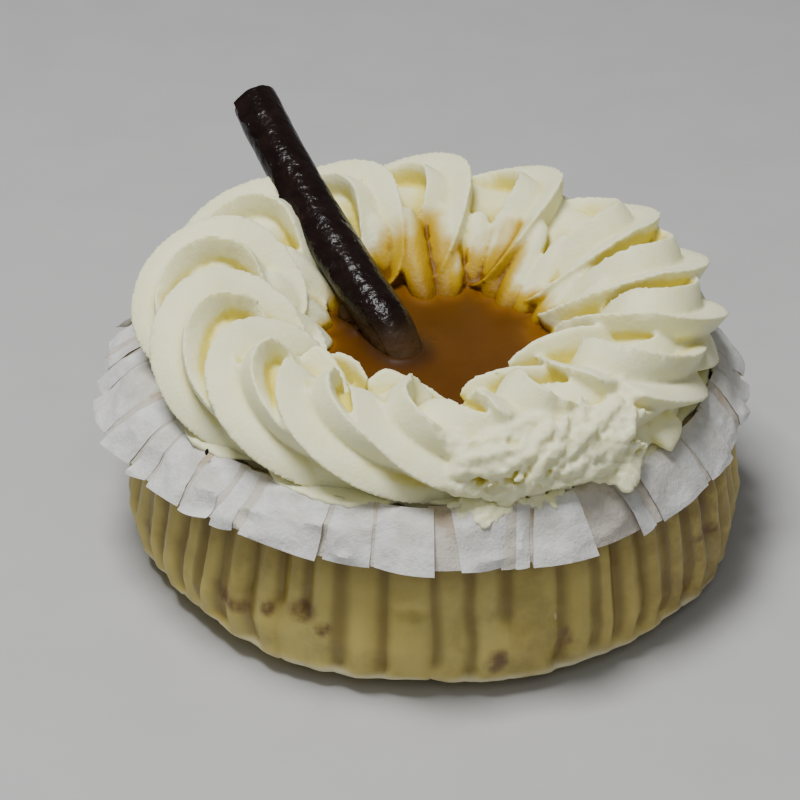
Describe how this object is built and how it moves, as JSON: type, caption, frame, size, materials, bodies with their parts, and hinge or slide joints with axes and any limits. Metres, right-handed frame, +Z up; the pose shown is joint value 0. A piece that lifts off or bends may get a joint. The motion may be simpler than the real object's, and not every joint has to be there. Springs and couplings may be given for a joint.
{
  "type": "salted caramel cheesecake",
  "caption": "Individual cheesecake in a fluted paper case with a turned-down collar, a piped cream ring round a pool of caramel, and a leaning chocolate stick.",
  "frame": {"origin": "centre of the flat bottom of the paper case, where the cake rests", "axes": "+Z up through the cake; -Y towards the picture's camera; +X to its right"},
  "size_m": [0.1034, 0.1011, 0.0567],
  "materials": {
    "paper": "satin",
    "biscuit": "matte",
    "filling": "matte",
    "cream": "matte",
    "caramel": "gloss",
    "chocolate": "satin"
  },
  "bodies": {
    "root": {"paper_case": "paper", "biscuit_base": "biscuit", "cheesecake": "filling", "cream_bed": "cream", "cream_ring": "cream", "caramel": "caramel", "chocolate_stick": "chocolate"}
  },
  "joints": []
}
